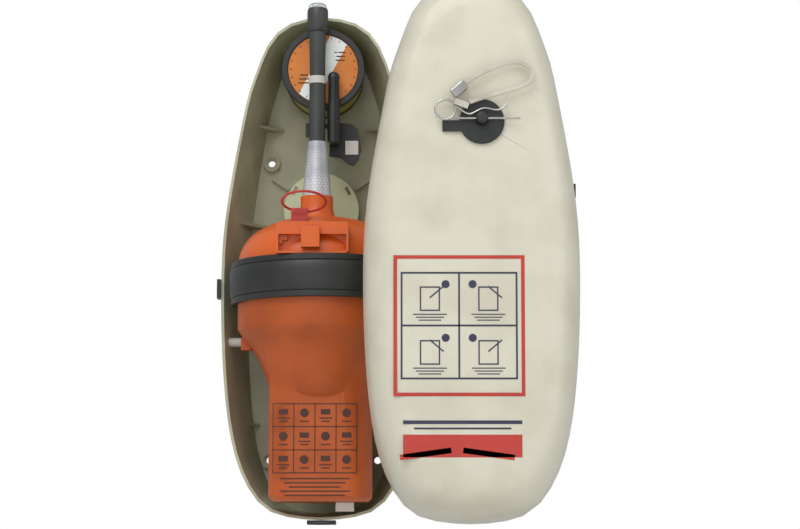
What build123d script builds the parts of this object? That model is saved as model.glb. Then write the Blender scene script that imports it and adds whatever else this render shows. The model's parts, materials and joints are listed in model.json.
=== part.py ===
from build123d import *
import math
import os

# Emergency position beacon in an opened float-free enclosure.
# +Z is up, the wall is the plane y = 0 and the object stands out towards -Y.
# The origin is the centre of the four wall bolts on the back face.  Millimetres.

# ---- driving dimensions -------------------------------------------------------
shell_half_width = 100.0
base_height = 502.0
base_bottom = -214.0
base_depth = 80.0
base_floor_half_width = 79.0
base_floor_bottom = -207.0
base_floor_height = 480.0
wall = 2.4
floor_thickness = 4.0

cover_height = 496.0
cover_depth = 118.0
cover_offset_x = 142.5
cover_bottom = -221.0
cover_rim_y = -200.0
cover_wall = 2.8
cover_lip = 3.0

bolt_pitch_x = 109.0
bolt_pitch_z = 304.0
bolt_hole_d = 7.0
boss_radius = 8.5
boss_height = 5.0

beacon_y = -97.0
belt_radius = 90.4
belt_bottom = -5.5
belt_top = 35.5
lip_height = 6.0
lip_radius = 88.6
joint_z = 15.0
housing_radius = 82.0
housing_wall = 3.0
body_width = 100.0
body_depth = 84.0
body_corner = 22.0
body_edge = 6.0
body_bottom = -196.5
body_top = -42.0
fit = 0.05
seat = 0.3

antenna_x = -5.0
neck_bottom = 80.5
neck_top = 103.0
reflector_top = 158.0
sleeve_top = 216.5
band_top = 224.0
tube_top = 269.0
head_top = 293.0
lens_height = 5.0
neck_radius = 16.0
sleeve_radius = 8.0
head_radius = 10.4
whip_radius = 2.0

puck_z = 235.0
puck_radius = 38.0
puck_rim_radius = 41.5
puck_back_y = -22.0
puck_front_y = -80.0

disc_x = -3.0
disc_z = 101.0
disc_radius = 38.0
disc_thickness = 4.0
disc_y = -20.0

knob_left_travel = 9.0
knob_right_travel = 18.0
knob_width = 18.0
knob_x = -8.0
housing_left = -41.0
housing_right = 28.0
housing_low = 35.8
housing_high = 66.0
housing_face_y = -182.0

stem_x = 150.5
stem_z = 138.0
stem_radius = 5.5
clip_wire_radius = 0.95
cord_radius = 2.0

nodes = {}


def add(name, *solids):
    """Store one named piece, made of one or more separate solids."""
    nodes[name] = list(solids)


def box(x0, x1, y0, y1, z0, z1):
    """Block between two corners."""
    return Pos((x0 + x1) / 2, (y0 + y1) / 2, (z0 + z1) / 2) * Box(x1 - x0, y1 - y0, z1 - z0)


def rod_z(x, y, radius, z0, z1):
    """Upright cylinder."""
    return Pos(x, y, (z0 + z1) / 2) * Cylinder(radius, z1 - z0)


def rod_y(x, z, radius, y0, y1):
    """Cylinder along Y."""
    return Pos(x, (y0 + y1) / 2, z) * Rot(90, 0, 0) * Cylinder(radius, abs(y1 - y0))


def rod_x(y, z, radius, x0, x1):
    """Cylinder along X."""
    return Pos((x0 + x1) / 2, y, z) * Rot(0, 90, 0) * Cylinder(radius, x1 - x0)


def tube_z(x, y, outer, inner, z0, z1):
    """Upright tube."""
    return rod_z(x, y, outer, z0, z1) - rod_z(x, y, inner, z0 - 1, z1 + 1)


def tube_y(x, z, outer, inner, y0, y1):
    """Tube along Y."""
    return rod_y(x, z, outer, y0, y1) - rod_y(x, z, inner, min(y0, y1) - 1, max(y0, y1) + 1)


def turned(x, y, profile):
    """Revolve a closed (radius, z) outline about an upright axis."""
    outline = Polyline(*[(r, 0, z) for r, z in profile], close=True)
    return Pos(x, y, 0) * revolve(make_face(outline), axis=Axis.Z)


# Outline of the enclosure: share of half width against share of height.
SHELL_OUTLINE = [
    (0.0, 0.0), (0.30, 0.005), (0.53, 0.020), (0.71, 0.060), (0.825, 0.110), (0.93, 0.205),
    (0.98, 0.312), (1.0, 0.450), (0.984, 0.553), (0.915, 0.663), (0.797, 0.794),
    (0.735, 0.850), (0.655, 0.896), (0.565, 0.941), (0.449, 0.972), (0.326, 0.988), (0.16, 0.9975), (0.0, 1.0),
]


outline_steps = 36


def shell_wire(centre_x, y, half_width, bottom, height):
    """Closed egg-shaped outline in a plane of constant y, as many short chords."""
    side = [Vector(w * half_width, y, bottom + h * height) for w, h in SHELL_OUTLINE]
    curve = Edge.make_spline(side, tangents=[(1, 0, 0), (-1, 0, 0)], scale=False)
    points = [curve.position_at(step / outline_steps) for step in range(outline_steps + 1)]
    right = [Vector(centre_x + p.X, y, p.Z) for p in points]
    left = [Vector(centre_x - p.X, y, p.Z) for p in points[1:-1]]
    return Wire.make_polygon(right + left[::-1], close=True)


# ---- back shell ---------------------------------------------------------------
def base_block(inset, y_back, y_front):
    """Tapered block of the base, inset all round."""
    low = base_floor_bottom + inset
    back = shell_wire(0, y_back, base_floor_half_width - inset, low, base_floor_height - 2 * inset)
    rim_low = base_bottom + inset
    front = shell_wire(0, y_front, shell_half_width - inset, rim_low, base_height - 2 * inset)
    return Solid.make_loft([back, front], ruled=True)


rim_overrun = 2.0


bolt_places = [(sx * bolt_pitch_x / 2, sz * bolt_pitch_z / 2) for sx in (-1, 1) for sz in (-1, 1)]
outer_block = base_block(0.0, 0.0, -base_depth)
cavity = base_block(wall, 0.0, -base_depth - rim_overrun)
cavity = cavity - box(-200, 200, -floor_thickness, 5, -300, 400)
back_shell = outer_block - cavity
inner_limit = base_block(wall - 0.8, 0.0, -base_depth + 2)


def gusset(side, z, reach, depth):
    """Triangular fin between the side wall and the floor."""
    outline = Polyline((side * 99, 0, z), (side * 99, -depth, z), (side * reach, 0, z), close=True)
    fin = extrude(make_face(outline), 3.0, dir=(0, 0, 1))
    return fin & inner_limit


for side in (-1, 1):
    back_shell += gusset(side, 185, 38, 70)
    back_shell += gusset(side, 84, 52, 66)
    back_shell += gusset(side, -118, 62, 60)
for x, z in bolt_places:
    back_shell += rod_y(x, z, boss_radius, -floor_thickness - boss_height, -1)
    back_shell -= rod_y(x, z, boss_radius - 2.5, -floor_thickness - boss_height - 1, -floor_thickness - 3)
    back_shell -= rod_y(x, z, bolt_hole_d / 2, -40, 5)
post_radius = 12.0
back_shell += rod_y(0, puck_z, 30.0, puck_back_y, -1) & inner_limit
back_shell += rod_y(disc_x, disc_z, post_radius, -12.0, -1)
rib_inner = 41.0
rib_outer = 62.0
for angle in (35, 145, 215, 325):
    turn = math.radians(angle)
    rib = Box(rib_outer - rib_inner, 6.0, 3.0)
    middle = (rib_inner + rib_outer) / 2
    at_x = disc_x + middle * math.cos(turn)
    at_z = disc_z + middle * math.sin(turn)
    back_shell += Pos(at_x, -floor_thickness - 2.0, at_z) * Rot(0, -angle, 0) * rib
back_shell -= rod_y(disc_x, disc_z, 4.0 + fit, -40, -3)
add("back_shell", back_shell)

# ---- ejector: disc, guide post and spring --------------------------------------
disc_front_y = disc_y - disc_thickness
ejector = rod_y(disc_x, disc_z, disc_radius, disc_front_y, disc_y)
for side in (-1, 1):
    slot = Pos(disc_x + side * 27, disc_y, disc_z + 20) * Rot(0, -side * 25, 0) * Box(3.2, 30, 9)
    ejector -= slot
ejector += rod_y(disc_x, disc_z, 4.0, disc_y, -floor_thickness)
add("ejector_plate", ejector)
spring_wire = 0.8
spring_gap = disc_y + 12.0
spring = Helix(pitch=2.0, height=abs(spring_gap) - 2 * spring_wire - 0.4, radius=8.0)
spring_plane = Plane(origin=spring @ 0, z_dir=spring % 0)
spring = sweep(spring_plane * Circle(spring_wire), path=spring)
spring = Pos(disc_x, -12.0 - spring_wire - 0.2, disc_z) * Rot(90, 0, 0) * spring
add("ejector_spring", spring)

# ---- hydrostatic release puck ---------------------------------------------------
cup_wall = 3.0
case = rod_y(0, puck_z, puck_radius, puck_front_y, puck_back_y - 6)
case -= rod_y(0, puck_z, puck_radius - cup_wall, puck_front_y - 1, puck_back_y - 6 - cup_wall)
add("hru_case", case)
add("hru_back_ring", rod_y(0, puck_z, puck_rim_radius - 2.5, puck_back_y - 6, puck_back_y))
lid_y = puck_front_y + 3.0
rim = tube_y(0, puck_z, puck_rim_radius, puck_radius + fit, puck_front_y + 8, puck_front_y)
rim += tube_y(0, puck_z, puck_rim_radius, puck_radius - 3.0, puck_front_y - 3.0, puck_front_y)
add("hru_rim", rim.clean())
disc_r = puck_radius - 3.0 - fit
add("hru_face_disc", rod_y(0, puck_z, disc_r, puck_front_y - 1.6, puck_front_y))
band_back = puck_back_y - 8.0
band_front = puck_front_y + 14.0
add("hru_side_band", tube_y(0, puck_z, puck_radius + 0.5, puck_radius + fit, band_front, band_back))
inner_cup = puck_radius - cup_wall
add("hru_diaphragm", rod_y(0, puck_z, inner_cup - 0.1, puck_front_y + 6, puck_front_y + 4.5))
cup_floor = puck_back_y - 6 - cup_wall
spring_room = abs(puck_front_y + 6 - cup_floor)
coil = Helix(pitch=5.0, height=spring_room - 3.0, radius=14.0)
coil = sweep(Plane(origin=coil @ 0, z_dir=coil % 0) * Circle(1.0), path=coil)
add("hru_spring", Pos(0, cup_floor - 1.5, puck_z) * Rot(90, 0, 0) * coil)
blade = box(-6, 6, cup_floor - 26, cup_floor, puck_z - 0.8, puck_z + 0.8)
add("hru_blade", blade)

# ---- shield plate and release rod ------------------------------------------------
plate_outline = [
    (6, 183.5), (18, 184.5), (29, 183), (34, 178), (36, 169.5), (38, 156.5),
    (35, 147), (30.8, 140.6), (25.5, 142.4), (17, 148.7), (6, 150.4),
]
plate_front = -60.0
plate_back = -56.5
shield = make_face(Polyline(*[(x, plate_front, z) for x, z in plate_outline], close=True))
shield = extrude(shield, plate_back - plate_front, dir=(0, 1, 0))
shield += box(18, 30, plate_back, -floor_thickness, 166, 174)
shield += box(-18, -12, -60, -56.5, 170, 184) + box(-18, 8, -60, -56.5, 179, 183.5)
add("shield_plate", shield)
add("shield_tag", box(22, 35, plate_front - 0.6, plate_front, 152, 166))
rod_x_place = 11.0
rod_y_place = -93.0
release = rod_z(rod_x_place, rod_y_place, 5.4, 176, 224)
release += Pos(rod_x_place, rod_y_place, 224) * Sphere(6.0)
release += rod_z(rod_x_place, rod_y_place, 6.2, 159, 197)
release += box(rod_x_place - 4, rod_x_place + 4, rod_y_place, plate_front, 160, 168)
add("release_rod", release)

# ---- supports and clips on the back shell -----------------------------------------
arm_y = -64.0
arm_z = -38.0
arm_in = 80.3
block_limit = base_block(wall + 2 * fit, 0.0, -base_depth - rim_overrun)
for side, label in ((-1, "left"), (1, "right")):
    arm = rod_x(arm_y, arm_z, 4.5, min(side * arm_in, side * 99), max(side * arm_in, side * 99))
    add(f"{label}_arm", arm & block_limit)
add("rim_clip", box(-104, -100.1, -84, -68, 4, 23) - box(-110, -102, -79, -73, 9, 18))
latch = box(-14, 14, -82, -52, base_bottom - 4, base_bottom - 0.1)
latch -= box(-8, 8, -90, -58, base_bottom - 5, base_bottom - 2.4)
add("bottom_latch", latch)
add("rest_block", box(14, 32, -98, -58, body_bottom - 9, body_bottom - seat) & block_limit)

# ---- beacon lower housing -----------------------------------------------------------
funnel_outline = [
    (housing_radius, joint_z), (housing_radius, -29.0), (77.0, -37.0), (69.0, -46.0),
    (62.0, -57.0), (56.0, -71.0), (48.0, -92.0), (36.0, -104.0),
]


def lower_body(shrink):
    """Funnel on a rounded block, drawn in by an amount."""
    outline = [(0.0, joint_z)] + [(r - shrink, z) for r, z in funnel_outline]
    outline += [(0.0, funnel_outline[-1][1])]
    funnel = turned(0, beacon_y, outline)
    plan = RectangleRounded(body_width - 2 * shrink, body_depth - 2 * shrink, body_corner - shrink)
    block = extrude(Pos(0, beacon_y, body_bottom + shrink) * plan, body_top - body_bottom)
    block = fillet(block.faces().sort_by(Axis.Z)[0].edges(), body_edge)
    return funnel + block


lower = lower_body(0.0) - lower_body(housing_wall)
for side in (-1, 1):
    lug = box(side * 73 - 7, side * 73 + 7, arm_y - 15, arm_y - 5.5, arm_z - 9, arm_z + 3)
    lower += lug - rod_z(0, beacon_y, 72.0, arm_z - 30, arm_z + 20)
add("lower_housing", lower)

# ---- beacon dome ----------------------------------------------------------------------
dome_outline = [
    (housing_radius, joint_z), (housing_radius, 37.0), (80.5, 45.0), (76.5, 54.0), (71.0, 61.0),
    (64.0, 66.5), (55.0, 71.5), (43.0, 76.5), (30.0, 79.5), (16.0, neck_bottom),
]


def dome_block(shrink):
    """Solid dome, drawn in by an amount."""
    outline = [(0.0, joint_z)]
    outline += [(r - shrink, z if z == joint_z else z - shrink) for r, z in dome_outline]
    outline += [(0.0, neck_bottom - shrink)]
    return turned(0, beacon_y, outline)


dome = dome_block(0.0) - dome_block(housing_wall)
dome -= rod_z(antenna_x, beacon_y, 6.0, 60, 100)
add("upper_dome", dome)
dome_clear = dome_block(-fit)
o_ring_outer = housing_radius - housing_wall - fit
add("o_ring", tube_z(0, beacon_y, o_ring_outer, o_ring_outer - 2.5, joint_z - 2, joint_z + 2))

# ---- clamp belt round the joint -------------------------------------------------------
belt_in = housing_radius + fit
lip_low_top = belt_bottom + lip_height
lip_high_low = belt_top - lip_height
add("lower_flange", tube_z(0, beacon_y, lip_radius, belt_in, belt_bottom, lip_low_top))
add("upper_flange", tube_z(0, beacon_y, lip_radius, belt_in, lip_high_low, belt_top))
band_outline = [
    (belt_in, lip_low_top), (belt_radius - 1.6, lip_low_top), (belt_radius - 0.3, lip_low_top + 4),
    (belt_radius, joint_z), (belt_radius - 0.3, lip_high_low - 4), (belt_radius - 1.6, lip_high_low),
    (belt_in, lip_high_low),
]
add("clamp_belt", turned(0, beacon_y, band_outline))

# ---- switch housing, knob and hooked catch ----------------------------------------------
switch = box(housing_left, housing_right, housing_face_y, beacon_y - 40, housing_low, housing_high)
switch = fillet(switch.edges().filter_by(Axis.Y), 3.0)
switch -= dome_clear
knob_low = 40.5
slot_low = knob_low - 2.7
slot_high = 54.0
slot_back = housing_face_y + 9.0
switch -= box(housing_left + 2.4, housing_right - 2.0, housing_face_y - 5, slot_back, slot_low, slot_high)
add("switch_housing", switch)
knob_l = knob_x - knob_width / 2
knob_r = knob_x + knob_width / 2
knob_back = beacon_y - housing_radius - seat
knob = box(knob_l, knob_r, housing_face_y - 1, knob_back, knob_low, slot_high - seat)
knob += fillet(box(knob_l, knob_r, -188.5, housing_face_y - 0.4, knob_low, 60.5).edges(), 1.0)
add("switch_knob", knob)
catch = box(housing_left + 2.5, -30, housing_face_y + 4, slot_back, 45, slot_high - 0.1)
catch -= box(-35, -25, -200, -160, 40, 48.5)
catch -= dome_clear
add("catch_hook", catch)
magnet_limit = rod_z(0, beacon_y, housing_radius - housing_wall - fit, 0, 60)
add("switch_magnet", box(-13, -3, -177.0, -171.0, 24, 31) & magnet_limit)

# ---- pull seal ----------------------------------------------------------------------------
seal_x = -15.0
seal_tilt = 19.0
seal_radius = 21.0
seal_wire = 1.25
seal_y = -167.0
seal_z = 87.5
ring = Pos(seal_x, seal_y, seal_z) * Rot(-seal_tilt, 0, 0) * Torus(seal_radius, seal_wire)
ring_bore = Pos(seal_x, seal_y, seal_z) * Rot(-seal_tilt, 0, 0) * Torus(seal_radius, seal_wire + fit)
add("seal_ring", ring)
stem = box(-28, -12, -153, -143, 60, 83.5)
stem -= dome_block(-seat)
add("seal_stem", stem - ring_bore)

# ---- antenna -------------------------------------------------------------------------------
bore = whip_radius + 1.5


def antenna_piece(name, profile):
    """Turned antenna piece with a clear bore."""
    piece = turned(antenna_x, beacon_y, [(bore, profile[0][1])] + profile + [(bore, profile[-1][1])])
    add(name, piece)


antenna_piece("antenna_neck", [(20.0, neck_bottom), (17.5, neck_bottom + 4), (neck_radius, neck_bottom + 10),
                               (neck_radius, neck_top)])
antenna_piece("reflective_sleeve", [(14.4, neck_top), (9.4, reflector_top)])
antenna_piece("antenna_sleeve", [(sleeve_radius, reflector_top), (sleeve_radius, sleeve_top)])
antenna_piece("antenna_band", [(8.4, sleeve_top), (8.4, band_top)])
antenna_piece("antenna_tube", [(7.6, band_top), (8.4, tube_top)])
antenna_piece("antenna_head", [(8.6, tube_top), (head_radius, tube_top + 3), (head_radius, head_top - 3),
                               (9.6, head_top)])
lens_outer = rod_z(antenna_x, beacon_y, 9.0, head_top, head_top + lens_height)
lens_outer = fillet(lens_outer.edges().sort_by(Axis.Z)[-1], 3.5)
add("strobe_lens", lens_outer - rod_z(antenna_x, beacon_y, 5.5, head_top - 1, head_top + 3))
add("strobe_led", rod_z(antenna_x, beacon_y, 3.0, head_top, head_top + 2.4))
add("whip_core", rod_z(antenna_x, beacon_y, whip_radius, 62, head_top))

# ---- inside the beacon ------------------------------------------------------------------------
cell_radius = 16.5
cell_low = body_bottom + housing_wall + 8.0
cell_high = -78.0
cells = []
for side in (-1, 1):
    cells.append(rod_z(side * 21, beacon_y, cell_radius, cell_low, cell_high))
add("battery_cells", *cells)
tray = box(-38, 38, beacon_y - 20, beacon_y + 20, body_bottom + housing_wall, cell_low)
add("battery_tray", tray)
board_z = -24.0
spacer = tube_z(0, beacon_y, 20, 16, cell_high, board_z)
add("board_spacer", spacer)
add("circuit_board", rod_z(0, beacon_y, 70.0, board_z, board_z + 1.6))
add("shield_can", box(-24, 24, beacon_y - 20, beacon_y + 20, board_z + 1.6, board_z + 12))
add("whip_socket", rod_z(antenna_x, beacon_y, 5.0, board_z + 12, 62))

# ---- cover -----------------------------------------------------------------------------------------
cover_stations = [
    (0.0, 0.0), (60.0, 0.6), (88.0, 3.0), (102.0, 7.5), (111.0, 14.0), (116.0, 22.0), (cover_depth, 33.0),
]


def cover_block(inset, start):
    """Domed block of the cover, inset all round and at the front."""
    wires = []
    for depth, draw in cover_stations:
        shrink = inset + draw
        y = cover_rim_y - depth + (inset if depth > 0 else start)
        half = shell_half_width - shrink
        wires.append(shell_wire(cover_offset_x, y, half, cover_bottom + shrink, cover_height - 2 * shrink))
    return Solid.make_loft(wires, ruled=True)


cover = cover_block(0.0, 0.0) - cover_block(cover_wall, 1.0)
front_y = cover_rim_y - cover_depth
cover -= rod_y(stem_x, stem_z, stem_radius + fit, front_y - 5, front_y + 30)
add("cover_shell", cover)

# ---- cover fastening: washer, stem and spring clip ----------------------------------------------------
washer_front = front_y - 3.0
washer = rod_y(stem_x, stem_z - 2, 20.3, washer_front, front_y)
washer += box(115, 138, washer_front, front_y, stem_z - 11, stem_z - 1)
washer -= rod_y(stem_x, stem_z, stem_radius + fit, washer_front - 1, front_y + 1)
add("washer_disc", washer)
stem_front = washer_front - 11.0
lock = rod_y(stem_x, stem_z, stem_radius, stem_front, front_y + 22)
lock = fillet(lock.edges().sort_by(Axis.Y)[0], 3.0)
lock += rod_y(stem_x, stem_z, 9.0, front_y + cover_wall + 0.1, front_y + 10)
clip_y = washer_front - 4.0
lock -= rod_x(clip_y, stem_z, clip_wire_radius + fit, stem_x - 20, stem_x + 20)
add("lock_stem", lock)

clip_left = 126.0
coil_x = 117.5
coil_z = 146.0
coil_r = 9.0
leg_end = 185.0
leg = rod_x(clip_y, stem_z, clip_wire_radius, clip_left - 6, leg_end)
ring_clip = Pos(coil_x, clip_y, coil_z) * Rot(90, 0, 0) * Torus(coil_r, clip_wire_radius)
sprung_points = [(125.5, 149.5), (130, 147.0), (139, 142.0), (152, 147.0), (164, 145.6), (173, 152.0)]
sprung_path = Spline(*[(x, clip_y, z) for x, z in sprung_points])
sprung = sweep(Plane(origin=sprung_path @ 0, z_dir=sprung_path % 0) * Circle(clip_wire_radius), path=sprung_path)
clip = leg + ring_clip + sprung
add("r_clip", clip)

# Flat braided loop: from the crimp round and back to the ring of the clip.
cord_y = clip_y
crimp_x = 130.0
crimp_z = 164.5
crimp_turn = 42.0
crimp = Pos(crimp_x, cord_y, crimp_z) * Rot(0, -crimp_turn, 0) * Box(15, 6, 9)
crimp = fillet(crimp.edges(), 1.4)
add("crimp", crimp)
cord_points = [
    (136.2, 170.1), (144.5, 176.5), (157.5, 183.0), (172.0, 189.0), (186.0, 189.5), (197.0, 182.0),
    (195.5, 171.5), (182.0, 165.5), (166.0, 161.0), (150.5, 156.5), (139.5, 152.6),
]


def cord_radii(points):
    """Largest tangent arcs that the runs allow."""
    radii = []
    for before, here, after in zip(points, points[1:], points[2:]):
        first = Vector(here[0] - before[0], 0, here[1] - before[1])
        second = Vector(after[0] - here[0], 0, after[1] - here[1])
        half_turn = math.radians(first.get_angle(second)) / 2
        radii.append(0.45 * min(first.length, second.length) / math.tan(half_turn))
    return radii


radii = cord_radii(cord_points)
print("cord radii", [round(r, 1) for r in radii])
cord_path = FilletPolyline(*[(x, cord_y, z) for x, z in cord_points], radius=radii)
cord = sweep(Plane(origin=cord_path @ 0, z_dir=cord_path % 0) * Circle(cord_radius), path=cord_path)
print("cord length", round(cord_path.length, 1), "volume share",
      round(cord.volume / (math.pi * cord_radius ** 2 * cord_path.length), 4))
add("webbing_loop", cord)
tie = Pos(132.2, cord_y, 151.2) * Rot(0, 19, 0) * Box(13.0, 5.0, 5.5)
add("loop_tie", tie - Pos(coil_x, clip_y, coil_z) * Rot(90, 0, 0) * Torus(coil_r, clip_wire_radius + fit))

clip_hole_x = cover_offset_x + shell_half_width * 0.94
add("cover_clip", box(clip_hole_x + 1.6, clip_hole_x + 5.6, cover_rim_y - 14, cover_rim_y - 2, 84, 97))

os.makedirs("parts", exist_ok=True)
for name, solids in nodes.items():
    pieces = []
    for item in solids:
        pieces.extend(item.solids())
    shape = pieces[0] if len(pieces) == 1 else Compound(children=pieces)
    export_step(shape, f"parts/{name}.step")
    print(name, len(pieces))
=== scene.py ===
"""The looks of an emergency position beacon in its opened float-free enclosure."""

import json
import logging
import math
from dataclasses import dataclass, field
from enum import Enum

import bmesh
import bpy
from mathutils import Matrix, Vector

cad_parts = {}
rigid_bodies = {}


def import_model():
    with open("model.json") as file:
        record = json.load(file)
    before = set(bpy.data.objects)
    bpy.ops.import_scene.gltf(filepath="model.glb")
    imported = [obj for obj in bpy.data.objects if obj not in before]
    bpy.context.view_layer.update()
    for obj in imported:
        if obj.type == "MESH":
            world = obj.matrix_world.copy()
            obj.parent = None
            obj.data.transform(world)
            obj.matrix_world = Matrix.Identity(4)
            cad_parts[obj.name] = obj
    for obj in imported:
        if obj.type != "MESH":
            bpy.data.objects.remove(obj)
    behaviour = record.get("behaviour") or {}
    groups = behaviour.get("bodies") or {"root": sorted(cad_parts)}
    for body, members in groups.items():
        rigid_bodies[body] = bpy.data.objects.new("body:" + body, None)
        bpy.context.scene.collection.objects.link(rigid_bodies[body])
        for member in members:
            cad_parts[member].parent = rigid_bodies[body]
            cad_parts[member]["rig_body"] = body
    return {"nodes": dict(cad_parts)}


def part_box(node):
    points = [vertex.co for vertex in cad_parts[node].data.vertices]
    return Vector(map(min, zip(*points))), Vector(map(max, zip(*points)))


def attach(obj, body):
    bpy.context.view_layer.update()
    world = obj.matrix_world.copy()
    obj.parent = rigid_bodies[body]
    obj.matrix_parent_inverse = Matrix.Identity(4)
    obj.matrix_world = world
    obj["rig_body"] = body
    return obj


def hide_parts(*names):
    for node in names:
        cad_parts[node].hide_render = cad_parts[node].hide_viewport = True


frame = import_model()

log = logging.getLogger("beacon")
MM = 0.001


def linear(hex_colour: str) -> tuple[float, float, float, float]:
    """Turn an sRGB hex colour into linear values.

    Args:
        hex_colour: Six hex digits after a hash sign.

    Returns:
        Red, green, blue and an alpha of one.
    """
    parts = [int(hex_colour[i : i + 2], 16) / 255 for i in (1, 3, 5)]
    values = [p / 12.92 if p <= 0.04045 else ((p + 0.055) / 1.055) ** 2.4 for p in parts]
    return (values[0], values[1], values[2], 1.0)


def add_node(tree: bpy.types.NodeTree, kind: str, settings: dict, links: dict) -> bpy.types.Node:
    """Add one node with its settings and links.

    Args:
        tree: The node tree.
        kind: The node's type name.
        settings: Properties by name, or socket values by name or number.
        links: Input sockets by name or number, each with an output socket.

    Returns:
        The new node.
    """
    made = tree.nodes.new(kind)
    for key, value in settings.items():
        if isinstance(key, str) and hasattr(made, key):
            setattr(made, key, value)
        else:
            made.inputs[key].default_value = value
    for key, source in links.items():
        tree.links.new(source, made.inputs[key])
    return made


class Grain(Enum):
    """How a surface was made, which sets its small relief."""

    MOULDED = "moulded"
    POLISHED = "polished"
    BRUSHED = "brushed"
    BRAIDED = "braided"
    HEXAGON = "hexagon"


@dataclass(frozen=True)
class Finish:
    """One real finish: its colour, gloss and small relief.

    Attributes:
        name: Maker's name of the finish.
        colour: Base colour.
        shade: Colour of the dull or worn places.
        roughness: Typical roughness.
        grain: How the surface was made.
        grain_mm: Real size of one grain in millimetres.
        relief_mm: Height of the grain in millimetres.
        metallic: One for a metal.
        coat: Strength of a clear gloss coat.
        transmission: One for a clear moulding.
        glow: Light scattered under the surface.
    """

    name: str
    colour: str
    shade: str
    roughness: float = 0.45
    grain: Grain = Grain.MOULDED
    grain_mm: float = 1.2
    relief_mm: float = 0.05
    metallic: float = 0.0
    coat: float = 0.0
    transmission: float = 0.0
    glow: float = 0.0

    def build(self) -> bpy.types.Material:
        """Build the material.

        Returns:
            The finished material.
        """
        material = bpy.data.materials.new(self.name)
        material.use_nodes = True
        tree = material.node_tree
        shader = tree.nodes["Principled BSDF"]
        shader.inputs["Metallic"].default_value = self.metallic
        shader.inputs["Coat Weight"].default_value = self.coat
        shader.inputs["Transmission Weight"].default_value = self.transmission
        shader.inputs["Subsurface Weight"].default_value = self.glow
        place = add_node(tree, "ShaderNodeTexCoord", {}, {}).outputs["Object"]
        cloud = add_node(tree, "ShaderNodeTexNoise", {"Scale": 22.0, "Detail": 4.0}, {"Vector": place})
        spread = {"From Min": 0.42, "From Max": 0.72}
        dull = add_node(tree, "ShaderNodeMapRange", spread, {"Value": cloud.outputs["Fac"]})
        mix = {"data_type": "RGBA", 6: linear(self.colour), 7: linear(self.shade)}
        tint = add_node(tree, "ShaderNodeMix", mix, {0: dull.outputs["Result"]})
        colour = tint.outputs[2]
        height = self._relief(tree, place)
        if self.grain in (Grain.HEXAGON, Grain.BRAIDED):
            lines = {"data_type": "RGBA", 6: linear(self.shade)}
            colour = add_node(tree, "ShaderNodeMix", lines, {0: height, 7: colour}).outputs[2]
        tree.links.new(colour, shader.inputs["Base Color"])
        gloss = {"To Min": self.roughness * 0.85, "To Max": min(1.0, self.roughness * 1.25)}
        rough = add_node(tree, "ShaderNodeMapRange", gloss, {"Value": cloud.outputs["Fac"]})
        tree.links.new(rough.outputs["Result"], shader.inputs["Roughness"])
        bump = {"Distance": self.relief_mm * MM, "Strength": 0.6}
        relief = add_node(tree, "ShaderNodeBump", bump, {"Height": height})
        tree.links.new(relief.outputs["Normal"], shader.inputs["Normal"])
        return material

    def _relief(self, tree: bpy.types.NodeTree, place: bpy.types.NodeSocket) -> bpy.types.NodeSocket:
        """Height pattern of the grain.

        Args:
            tree: The node tree.
            place: Coordinates on the object.

        Returns:
            The socket that carries the height from 0 to 1.
        """
        per_metre = 1.0 / (self.grain_mm * MM)
        if self.grain is Grain.HEXAGON:
            return self._hexagons(tree)
        if self.grain is Grain.BRAIDED:
            turned = add_node(tree, "ShaderNodeMapping", {"Rotation": (0.0, 0.8, 0.0)}, {"Vector": place})
            wave = {"Scale": per_metre * 0.32, "Distortion": 1.0, "bands_direction": "X"}
            strands = add_node(tree, "ShaderNodeTexWave", wave, {"Vector": turned.outputs["Vector"]})
            return strands.outputs["Fac"]
        if self.grain is Grain.BRUSHED:
            stretch = add_node(tree, "ShaderNodeMapping", {"Scale": (0.08, 1.0, 1.0)}, {"Vector": place})
            place = stretch.outputs["Vector"]
        grain = add_node(tree, "ShaderNodeTexNoise", {"Scale": per_metre, "Detail": 2.0}, {"Vector": place})
        return grain.outputs["Fac"]

    def _hexagons(self, tree: bpy.types.NodeTree) -> bpy.types.NodeSocket:
        """Hexagon cells on the piece's own UV map, which is in millimetres.

        Args:
            tree: The node tree.

        Returns:
            Zero on the lines between the cells and one inside them.
        """
        uv = add_node(tree, "ShaderNodeTexCoord", {}, {}).outputs["UV"]
        cell = (1.0, math.sqrt(3.0), 1.0)
        half = tuple(c / 2 for c in cell)
        size = {"operation": "SCALE", 3: 1.0 / self.grain_mm}
        scaled = add_node(tree, "ShaderNodeVectorMath", size, {0: uv}).outputs[0]
        shares = []
        for shift in ((0.0, 0.0, 0.0), half):
            moved = {"operation": "ADD", 1: shift}
            offset = add_node(tree, "ShaderNodeVectorMath", moved, {0: scaled}).outputs[0]
            wrapped = add_node(tree, "ShaderNodeVectorMath", {"operation": "WRAP", 1: half,
                               2: tuple(-h for h in half)}, {0: offset}).outputs[0]
            flat = add_node(tree, "ShaderNodeVectorMath", {"operation": "MULTIPLY", 1: (1.0, 1.0, 0.0)},
                            {0: wrapped}).outputs[0]
            positive = add_node(tree, "ShaderNodeVectorMath", {"operation": "ABSOLUTE"}, {0: flat}).outputs[0]
            slanted = add_node(tree, "ShaderNodeVectorMath", {"operation": "DOT_PRODUCT",
                               1: (0.5, math.sqrt(0.75), 0.0)}, {0: positive}).outputs["Value"]
            across = add_node(tree, "ShaderNodeSeparateXYZ", {}, {0: positive}).outputs["X"]
            largest = add_node(tree, "ShaderNodeMath", {"operation": "MAXIMUM"}, {0: slanted, 1: across})
            shares.append(largest.outputs[0])
        nearest = add_node(tree, "ShaderNodeMath", {"operation": "MINIMUM"}, {0: shares[0], 1: shares[1]})
        band = {"From Min": 0.5, "From Max": 0.42}
        return add_node(tree, "ShaderNodeMapRange", band, {"Value": nearest.outputs[0]}).outputs["Result"]


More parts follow.
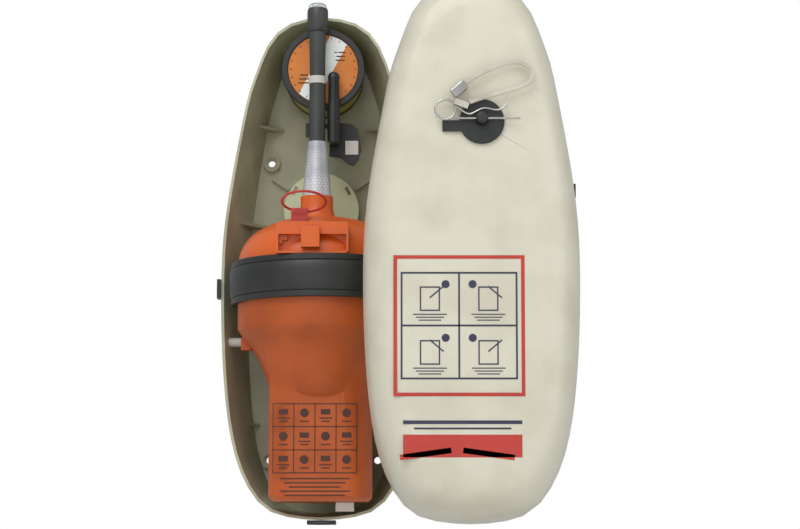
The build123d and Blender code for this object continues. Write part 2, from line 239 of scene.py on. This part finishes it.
# Glass-filled polyester, pressed: a faint cloudy cream with soft gloss.
SHELL = Finish("pressed_polyester_sage", "#B6B79C", "#A3A288", 0.50, relief_mm=0.08)
COVER = Finish("pressed_polyester_cream", "#CECAB8", "#C2BDA9", 0.38, relief_mm=0.06, coat=0.15)
# Polycarbonate, moulded: strong orange with a fine spark-eroded texture.
DOME = Finish("moulded_polycarbonate_orange", "#D8601C", "#C95616", 0.36, relief_mm=0.04, glow=0.03)
# The lower body's orange is a darker copy of the dome's: painted shade for its lower, less lit part. The
# rougher texture is real.
BODY = Finish("painted_shade_textured_polycarbonate_orange", "#BC5517", "#A94A12", 0.50, relief_mm=0.07)
# EPDM rubber and glass-filled nylon: near black, satin with a grey sheen.
RUBBER = Finish("moulded_epdm_black", "#222422", "#2B2D2B", 0.42)
NYLON = Finish("glass_filled_nylon_black", "#1F2020", "#292A29", 0.38)
WHIP = Finish("urethane_whip_grey_black", "#353936", "#3E423F", 0.42, grain_mm=0.8)
PALE = Finish("moulded_abs_pale_grey", "#C4C1BA", "#B7B4AC", 0.45)
DISC = Finish("moulded_acetal_pale_green", "#CDD6B0", "#BFC8A2", 0.42)
WHITE = Finish("moulded_abs_white", "#DEDCD4", "#D0CEC6", 0.50)
RED = Finish("moulded_polypropylene_red", "#C03A32", "#AC322B", 0.32, glow=0.04)
# Drawn stainless wire: bright, with fine lengthwise marks.
STEEL = Finish("drawn_stainless_steel", "#BDBDB9", "#A5A5A2", 0.26, Grain.BRUSHED, 0.4, 0.02, metallic=1.0)
# Prismatic film: silver with the net of its sealed cells, drawn at their real 3.4 mm.
FILM = Finish("prismatic_film_silver", "#D2D5D8", "#888D94", 0.30, Grain.HEXAGON, 3.4, 0.08, metallic=0.25,
              coat=0.5)
BRAID = Finish("braided_polyester_white", "#E2DED0", "#A8A496", 0.75, Grain.BRAIDED, 1.0, 0.25)
CLEAR = Finish("clear_polycarbonate", "#E9EEEC", "#DCE2E0", 0.12, Grain.POLISHED, 4.0, 0.01, transmission=0.7)
LABEL_ORANGE = Finish("printed_vinyl_orange", "#D07A28", "#C36E20", 0.35, Grain.POLISHED, 3.0, 0.01)
LABEL_WHITE = Finish("printed_vinyl_white", "#E6EBE8", "#DADFDB", 0.35, Grain.POLISHED, 3.0, 0.01)
LABEL_YELLOW = Finish("printed_vinyl_yellow", "#A9A93C", "#989830", 0.40, Grain.POLISHED, 3.0, 0.01)
INK_RED = Finish("screen_ink_red", "#B8362B", "#A83026", 0.42, Grain.POLISHED, 3.0, 0.01)
INK_NAVY = Finish("screen_ink_navy", "#2A2C44", "#34364E", 0.42, Grain.POLISHED, 3.0, 0.01)
INK_DARK = Finish("screen_ink_brown_black", "#43210F", "#4E2712", 0.48, Grain.POLISHED, 3.0, 0.01)
FLOOR = Finish("plain_pale_floor", "#E8E8E6", "#E4E4E2", 0.85, Grain.POLISHED, 40.0, 0.01)


class Bench:
    """Makes and shades pieces and hangs them on their bodies."""

    def __init__(self) -> None:
        """Start with no materials built."""
        self._built: dict[str, bpy.types.Material] = {}

    def material(self, finish: Finish) -> bpy.types.Material:
        """Return the finish's material, built once."""
        if finish.name not in self._built:
            self._built[finish.name] = finish.build()
        return self._built[finish.name]

    def piece(self, name: str, mesh: bmesh.types.BMesh, finish: Finish, body: str,
              smooth_degrees: float = 35.0) -> bpy.types.Object:
        """Turn a bmesh into a finished piece that rides on a body.

        Args:
            name: The piece's name.
            mesh: Its shape, in place, in metres.
            finish: Its finish.
            body: The body it rides on.
            smooth_degrees: Edges turned more than this stay sharp.

        Returns:
            The new object.
        """
        for edge in mesh.edges:
            edge.smooth = edge.calc_face_angle(math.pi) < math.radians(smooth_degrees)
        for face in mesh.faces:
            face.smooth = True
        data = bpy.data.meshes.new(name)
        mesh.to_mesh(data)
        mesh.free()
        made = bpy.data.objects.new(name, data)
        bpy.context.scene.collection.objects.link(made)
        data.materials.append(self.material(finish))
        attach(made, body)
        log.info("%s: %d faces", name, len(data.polygons))
        return made

    def dress(self, node: str, finish: Finish, bevel_mm: float = 0.35, smooth_degrees: float = 35.0) -> None:
        """Stand a welded, softly bevelled copy in for a CAD node.

        Args:
            node: The CAD node.
            finish: Its finish.
            bevel_mm: Width of the worn edge, or zero for none.
            smooth_degrees: Edges turned more than this stay sharp.
        """
        source = frame["nodes"][node]
        mesh = bmesh.new()
        mesh.from_mesh(source.data)
        bmesh.ops.remove_doubles(mesh, verts=mesh.verts, dist=0.00002)
        made = self.piece(node + "_skin", mesh, finish, source["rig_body"], smooth_degrees)
        if bevel_mm:
            soft = made.modifiers.new("worn_edge", "BEVEL")
            soft.width = bevel_mm * MM
            soft.segments = 2
            soft.limit_method = "ANGLE"
            soft.angle_limit = math.radians(50)
            soft.harden_normals = False
        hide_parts(node)


bench = Bench()


def plate(mesh: bmesh.types.BMesh, x: float, z: float, width: float, height: float, y: float, thick: float,
          turn: float = 0.0) -> None:
    """Add a thin upright plate to a bmesh.

    Args:
        mesh: The bmesh to add to.
        x: Centre across, in millimetres.
        z: Centre height.
        width: Size across.
        height: Size upwards.
        y: Place of its back face.
        thick: Thickness towards the viewer.
        turn: Turn about the Y axis, in degrees.
    """
    place = Matrix.Translation(Vector((x, y - thick / 2, z)) * MM)
    spin = Matrix.Rotation(math.radians(turn), 4, "Y")
    size = Matrix.Diagonal(Vector((width, thick, height)) * MM).to_4x4()
    bmesh.ops.create_cube(mesh, size=1.0, matrix=place @ spin @ size)


def frame_lines(mesh: bmesh.types.BMesh, x: float, z: float, width: float, height: float, line: float,
                y: float, thick: float) -> None:
    """Add a rectangular outline made of four bars.

    Args:
        mesh: The bmesh to add to.
        x: Centre across, in millimetres.
        z: Centre height.
        width: Outer width.
        height: Outer height.
        line: Width of the line.
        y: Place of its back face.
        thick: Thickness towards the viewer.
    """
    for side in (-1, 1):
        plate(mesh, x, z + side * (height - line) / 2, width, line, y, thick)
        plate(mesh, x + side * (width - line) / 2, z, line, height - 2 * line, y, thick)


def disc(mesh: bmesh.types.BMesh, x: float, z: float, radius: float, y: float, thick: float,
         segments: int = 32) -> None:
    """Add a thin upright disc to a bmesh.

    Args:
        mesh: The bmesh to add to.
        x: Centre across, in millimetres.
        z: Centre height.
        radius: Its radius.
        y: Place of its back face.
        thick: Thickness towards the viewer.
        segments: Sides of the disc.
    """
    place = Matrix.Translation(Vector((x, y - thick / 2, z)) * MM) @ Matrix.Rotation(math.pi / 2, 4, "X")
    bmesh.ops.create_cone(mesh, cap_ends=True, segments=segments, radius1=radius * MM, radius2=radius * MM,
                          depth=thick * MM, matrix=place)


@dataclass
class Enclosure:
    """Back shell, ejector disc, supports, release puck and rod."""

    print_thick: float = 0.25
    band_turn: float = -62.0
    band_width: float = 19.0
    band_inset: float = 0.6
    ticks: int = 24
    tick_radius: float = 32.2
    tick_length: float = 2.2
    tick_width: float = 0.7
    dash_width: float = 1.2

    def build(self) -> None:
        """Dress every piece of the enclosure and print the puck's face."""
        bench.dress("back_shell", SHELL, 0.8, 30.0)
        bench.dress("ejector_plate", DISC, 0.5)
        for node in ("left_arm", "right_arm"):
            bench.dress(node, PALE)
        for node in ("hru_case", "hru_back_ring", "shield_plate", "release_rod", "rim_clip", "bottom_latch"):
            bench.dress(node, NYLON, 0.5)
        bench.dress("hru_rim", NYLON, 0.9)
        bench.dress("hru_face_disc", LABEL_ORANGE, 0.3)
        bench.dress("hru_side_band", LABEL_YELLOW, 0.0)
        bench.dress("rest_block", WHITE)
        bench.dress("shield_tag", WHITE, 0.1)
        self._puck_band()
        self._puck_marks()

    def _puck_band(self) -> None:
        """Pale diagonal band across the puck's face, cut from a disc."""
        low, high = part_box("hru_face_disc")
        middle = (low + high) / 2 / MM
        radius = (high.x - low.x) / 2 / MM - self.band_inset
        mesh = bmesh.new()
        disc(mesh, middle.x, middle.z, radius, low.y / MM, self.print_thick, 96)
        across = Matrix.Rotation(math.radians(self.band_turn), 3, "Y") @ Vector((0, 0, 1))
        for side in (-1, 1):
            point = (middle + across * (side * self.band_width / 2)) * MM
            cut = bmesh.ops.bisect_plane(mesh, geom=mesh.verts[:] + mesh.edges[:] + mesh.faces[:],
                                         plane_co=point, plane_no=across * side, clear_outer=True)
            edges = [e for e in cut["geom_cut"] if isinstance(e, bmesh.types.BMEdge)]
            bmesh.ops.contextual_create(mesh, geom=edges)
        bmesh.ops.recalc_face_normals(mesh, faces=mesh.faces[:])
        bench.piece("puck_face_band", mesh, LABEL_WHITE, "bracket")

    def _puck_marks(self) -> None:
        """Plain dark dashes and ticks round the puck's face."""
        low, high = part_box("hru_face_disc")
        middle = (low + high) / 2 / MM
        mesh = bmesh.new()
        for row in range(3):
            plate(mesh, middle.x - 19, middle.z - 14 + 4 * row, 12 - 2 * row, self.dash_width,
                  low.y / MM, self.print_thick)
            plate(mesh, middle.x + 17, middle.z + 17 - 4 * row, 11 - row, self.dash_width,
                  low.y / MM, self.print_thick)
        for step in range(self.ticks):
            angle = 2 * math.pi * step / self.ticks
            x = middle.x + self.tick_radius * math.cos(angle)
            z = middle.z + self.tick_radius * math.sin(angle)
            plate(mesh, x, z, self.tick_length, self.tick_width, low.y / MM,
                  self.print_thick + 0.05, -math.degrees(angle))
        bench.piece("puck_face_marks", mesh, INK_DARK, "bracket")


@dataclass
class Beacon:
    """The floating beacon with its belt, switch, seal, label and antenna."""

    label_left: float = -45.0
    label_right: float = 36.0
    label_low: float = -171.0
    label_high: float = -104.0
    line: float = 0.9
    print_thick: float = 0.25
    rows: int = 3
    columns: int = 4
    grip_top: float = -160.0
    ribs: int = 5
    rib_inset: float = 2.4
    rib_drop: float = 4.0
    rib_width: float = 1.4
    rib_height: float = 6.0
    rib_depth: float = 0.8
    film_top_radius: float = 9.4
    film_wall: float = 0.8
    film_steps: int = 96
    film_unroll: float = 12.0

    def build(self) -> None:
        """Dress the beacon's pieces and add its printed table and reflective film."""
        # The lower housing takes the darker orange, painted shade for its less lit lower part.
        bench.dress("lower_housing", BODY, 0.7, 40.0)
        bench.dress("upper_dome", DOME, 0.6, 40.0)
        for node in ("antenna_neck", "switch_housing", "switch_knob"):
            bench.dress(node, DOME, 0.5)
        bench.dress("catch_hook", BODY, 0.4)
        for node in ("lower_flange", "upper_flange", "clamp_belt"):
            bench.dress(node, RUBBER, 0.9, 40.0)
        for node in ("antenna_sleeve", "antenna_tube", "antenna_head"):
            bench.dress(node, WHIP, 0.6, 40.0)
        bench.dress("antenna_band", PALE)
        bench.dress("strobe_lens", CLEAR, 0.3, 40.0)
        bench.dress("seal_ring", RED, 0.0, 60.0)
        bench.dress("seal_stem", RED, 0.6)
        self._stem_ribs()
        self._film()
        self._table()

    def _stem_ribs(self) -> None:
        """Finger ribs on the front of the pull seal's stem."""
        low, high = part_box("seal_stem")
        mesh = bmesh.new()
        span = (high.x - low.x) / MM - 2 * self.rib_inset
        for rib in range(self.ribs):
            x = low.x / MM + self.rib_inset + rib * span / (self.ribs - 1)
            plate(mesh, x, high.z / MM - self.rib_drop, self.rib_width, self.rib_height,
                  low.y / MM, self.rib_depth)
        bmesh.ops.bevel(mesh, geom=mesh.edges[:], offset=0.3 * MM, segments=2, profile=0.5, affect="EDGES",
                        material=-1)
        bench.piece("seal_stem_ribs", mesh, RED, "seal")

    def _film(self) -> None:
        """Reflective sleeve as a spun wall with a millimetre UV map for its cells."""
        low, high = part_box("reflective_sleeve")
        centre = (low + high) / 2
        wide = (high.x - low.x) / 2
        narrow = self.film_top_radius * MM
        mesh = bmesh.new()
        bmesh.ops.create_cone(mesh, cap_ends=False, segments=self.film_steps, radius1=wide,
                              radius2=narrow, depth=high.z - low.z,
                              matrix=Matrix.Translation(centre))
        bmesh.ops.solidify(mesh, geom=mesh.faces[:], thickness=self.film_wall * MM)
        bmesh.ops.recalc_face_normals(mesh, faces=mesh.faces[:])
        layer = mesh.loops.layers.uv.new("film")
        for face in mesh.faces:
            ahead = face.calc_center_median() - centre
            middle_angle = math.atan2(ahead.y, ahead.x)
            for loop in face.loops:
                away = loop.vert.co - centre
                angle = math.atan2(away.y, away.x)
                angle += 2 * math.pi * round((middle_angle - angle) / (2 * math.pi))
                loop[layer].uv = (angle * self.film_unroll, (loop.vert.co.z - low.z) / MM)
        made = bench.piece("reflective_film", mesh, FILM, "beacon", 40.0)
        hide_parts("reflective_sleeve")

    def _table(self) -> None:
        """Printed table with plain marks, and short dashes below it."""
        housing = frame["nodes"]["lower_housing"].data
        front = min(v.co.y for v in housing.vertices if v.co.z < self.grip_top * MM) / MM
        width = self.label_right - self.label_left
        height = self.label_high - self.label_low
        x = (self.label_left + self.label_right) / 2
        z = (self.label_low + self.label_high) / 2
        mesh = bmesh.new()
        frame_lines(mesh, x, z, width, height, self.line, front, self.print_thick)
        for row in range(1, self.rows):
            plate(mesh, x, self.label_low + height * row / self.rows, width, self.line, front, self.print_thick)
        for column in range(1, self.columns):
            at = self.label_left + width * column / self.columns
            plate(mesh, at, z, self.line, height, front, self.print_thick)
        for row in range(self.rows):
            for column in range(self.columns):
                cx = self.label_left + width * (column + 0.5) / self.columns
                cz = self.label_low + height * (row + 0.5) / self.rows
                if (row + column) % 2:
                    disc(mesh, cx, cz + 2, 4.2, front, self.print_thick, 20)
                    plate(mesh, cx, cz - 6, 9, 1.1, front, self.print_thick)
                else:
                    plate(mesh, cx, cz + 3, 9, 5, front, self.print_thick)
                    plate(mesh, cx, cz - 3, 12, 1.1, front, self.print_thick)
                    plate(mesh, cx, cz - 6, 8, 1.1, front, self.print_thick)
        for row in range(5):
            length = width - 14 - 9 * (row % 3)
            plate(mesh, x, self.label_low - 5 - 4.0 * row, length, 1.2, front, self.print_thick)
        bench.piece("body_table_print", mesh, INK_DARK, "beacon")


@dataclass
class Cover:
    """Cover with its washer, stem, spring clip, braided loop and prints."""

    centre_x: float = 142.5
    print_thick: float = 0.25
    route: tuple = field(default=(
        (136.2, 170.1), (144.5, 176.5), (157.5, 183.0), (172.0, 189.0), (186.0, 189.5), (197.0, 182.0),
        (195.5, 171.5), (182.0, 165.5), (166.0, 161.0), (150.5, 156.5), (139.5, 152.6),
    ))
    cord_y: float = -325.0
    loop_length: float = 135.4
    loop_diameter: float = 4.0
    panel_x: float = 129.6
    panel_z: float = -48.0
    bar_x: float = 132.4
    bar_width: float = 105.4

    def build(self) -> None:
        """Dress the cover's pieces and add its prints and loop."""
        bench.dress("cover_shell", COVER, 0.8, 40.0)
        for node in ("washer_disc", "cover_clip"):
            bench.dress(node, NYLON, 0.5)
        bench.dress("lock_stem", RUBBER, 0.5)
        bench.dress("r_clip", STEEL, 0.0, 60.0)
        bench.dress("crimp", STEEL, 0.2)
        bench.dress("loop_tie", BRAID, 0.8)
        self._loop()
        self._prints()

    def _loop(self) -> None:
        """Flat braided cord from the crimp round to the clip's ring."""
        curve = bpy.data.curves.new("braided_loop", "CURVE")
        curve.dimensions = "3D"
        curve.bevel_depth = 0.0009
        curve.extrude = 0.0011
        curve.bevel_resolution = 4
        curve.resolution_u = 16
        spline = curve.splines.new("NURBS")
        spline.points.add(len(self.route) - 1)
        for point, (x, z) in zip(spline.points, self.route):
            point.co = (x * MM, self.cord_y * MM, z * MM, 1.0)
        spline.order_u = 3
        spline.use_endpoint_u = True
        made = bpy.data.objects.new("braided_loop", curve)
        bpy.context.scene.collection.objects.link(made)
        curve.materials.append(bench.material(BRAID))
        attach(made, "clip")
        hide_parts("webbing_loop")

    def _prints(self) -> None:
        """Red frame, navy panel with plain marks, and bars below."""
        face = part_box("cover_shell")[0].y / MM
        x = self.panel_x
        z = self.panel_z
        mesh = bmesh.new()
        frame_lines(mesh, x, z, 117.0, 126.0, 3.2, face, self.print_thick)
        for side in (-1, 1):
            plate(mesh, x - 2 + side * 28, -162.0, 46, 5.0, face, self.print_thick, side * 8)
        plate(mesh, self.bar_x, -155.0, self.bar_width, 20.0, face, self.print_thick)
        bench.piece("cover_print_red", mesh, INK_RED, "cover")
        mesh = bmesh.new()
        frame_lines(mesh, x, z, 104.0, 96.0, 1.6, face, self.print_thick)
        plate(mesh, x, z, 1.6, 93.0, face, self.print_thick)
        plate(mesh, x, z, 101.0, 1.6, face, self.print_thick)
        for column in (-1, 1):
            for row in (-1, 1):
                cx = x + column * 26
                cz = z + row * 24
                disc(mesh, cx - 14 * column, cz + 13, 3.6, face, self.print_thick, 24)
                frame_lines(mesh, cx, cz, 18.0, 22.0, 1.2, face, self.print_thick)
                plate(mesh, cx + 6, cz + 6, 16.0, 1.2, face, self.print_thick + 0.05, 40.0 * column * row)
                for line in range(3):
                    plate(mesh, cx, cz - 14 - 2.6 * line, 30 - 5 * line, 0.9, face, self.print_thick)
        plate(mesh, self.bar_x, -134.0, self.bar_width, 3.2, face, self.print_thick)
        plate(mesh, self.bar_x, -139.5, 86.0, 1.6, face, self.print_thick)
        bench.piece("cover_print_navy", mesh, INK_NAVY, "cover")


@dataclass
class Studio:
    """Floor, backdrop, lamps and camera."""

    target: tuple = (0.077, -0.080, 0.038)
    distance: float = 2.4
    elevation: float = -7.5
    lens: float = 109.0
    floor_z: float = -0.45

    def build(self) -> None:
        """Set up the stage round the finished object."""
        self._floor()
        self._world()
        self._lamp("key", (-0.6, -1.7, 1.7), 1.6, 30.0)
        self._lamp("fill", (1.6, -1.6, 0.5), 1.8, 11.0)
        self._lamp("low", (-0.3, -1.9, -0.2), 1.2, 4.0)
        self._camera()
        bpy.context.scene.view_settings.view_transform = "Standard"

    def _floor(self) -> None:
        """Plain pale floor below the object."""
        mesh = bmesh.new()
        bmesh.ops.create_grid(mesh, x_segments=1, y_segments=1, size=3.0)
        bmesh.ops.translate(mesh, verts=mesh.verts[:], vec=(0, 0, self.floor_z))
        data = bpy.data.meshes.new("floor")
        mesh.to_mesh(data)
        mesh.free()
        floor = bpy.data.objects.new("floor", data)
        data.materials.append(bench.material(FLOOR))
        bpy.context.scene.collection.objects.link(floor)

    def _world(self) -> None:
        """Even light, with plain white seen past the object, directly or through clear pieces."""
        world = bpy.data.worlds.new("studio")
        world.use_nodes = True
        tree = world.node_tree
        tree.nodes.clear()
        path = add_node(tree, "ShaderNodeLightPath", {}, {})
        seen = add_node(tree, "ShaderNodeMath", {"operation": "MAXIMUM"}, {
            0: path.outputs["Is Camera Ray"], 1: path.outputs["Is Transmission Ray"]})
        even = add_node(tree, "ShaderNodeBackground", {"Color": linear("#F4F6F8"), "Strength": 0.55}, {})
        white = add_node(tree, "ShaderNodeBackground", {"Color": (1, 1, 1, 1), "Strength": 1.0}, {})
        mixed = add_node(tree, "ShaderNodeMixShader", {}, {
            0: seen.outputs[0], 1: even.outputs[0], 2: white.outputs[0]})
        add_node(tree, "ShaderNodeOutputWorld", {}, {"Surface": mixed.outputs[0]})
        bpy.context.scene.world = world

    def _lamp(self, name: str, place: tuple, size: float, power: float) -> None:
        """Add a soft square lamp aimed at the object.

        Args:
            name: The lamp's name.
            place: Where it stands, in metres.
            size: Side of the lamp.
            power: Power in watts.
        """
        data = bpy.data.lights.new(name, "AREA")
        data.size = size
        data.energy = power
        lamp = bpy.data.objects.new(name, data)
        lamp.location = place
        lamp.rotation_euler = (Vector(self.target) - Vector(place)).to_track_quat("-Z", "Y").to_euler()
        bpy.context.scene.collection.objects.link(lamp)

    def _camera(self) -> None:
        """Place the camera in front, a little below the middle of the object."""
        data = bpy.data.cameras.new("camera")
        data.lens = self.lens
        camera = bpy.data.objects.new("camera", data)
        tilt = math.radians(self.elevation)
        away = Vector((0, -math.cos(tilt), math.sin(tilt))) * self.distance
        camera.location = Vector(self.target) + away
        camera.rotation_euler = (-away).to_track_quat("-Z", "Y").to_euler()
        bpy.context.scene.collection.objects.link(camera)
        bpy.context.scene.camera = camera


def main() -> None:
    """Build the object and its stage in order."""
    logging.basicConfig(level=logging.INFO, format="%(message)s")
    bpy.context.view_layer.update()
    for part in (Enclosure(), Beacon(), Cover(), Studio()):
        part.build()
    inner = {"ejector_spring": STEEL, "hru_spring": STEEL, "hru_blade": STEEL, "whip_core": STEEL,
             "shield_can": STEEL, "circuit_board": BODY, "battery_cells": PALE, "battery_tray": NYLON,
             "board_spacer": NYLON, "whip_socket": NYLON, "strobe_led": WHITE, "o_ring": RUBBER,
             "hru_diaphragm": RUBBER, "switch_magnet": STEEL}
    for node, finish in inner.items():
        data = frame["nodes"][node].data
        data.materials.clear()
        data.materials.append(bench.material(finish))


if __name__ == "__main__":
    main()
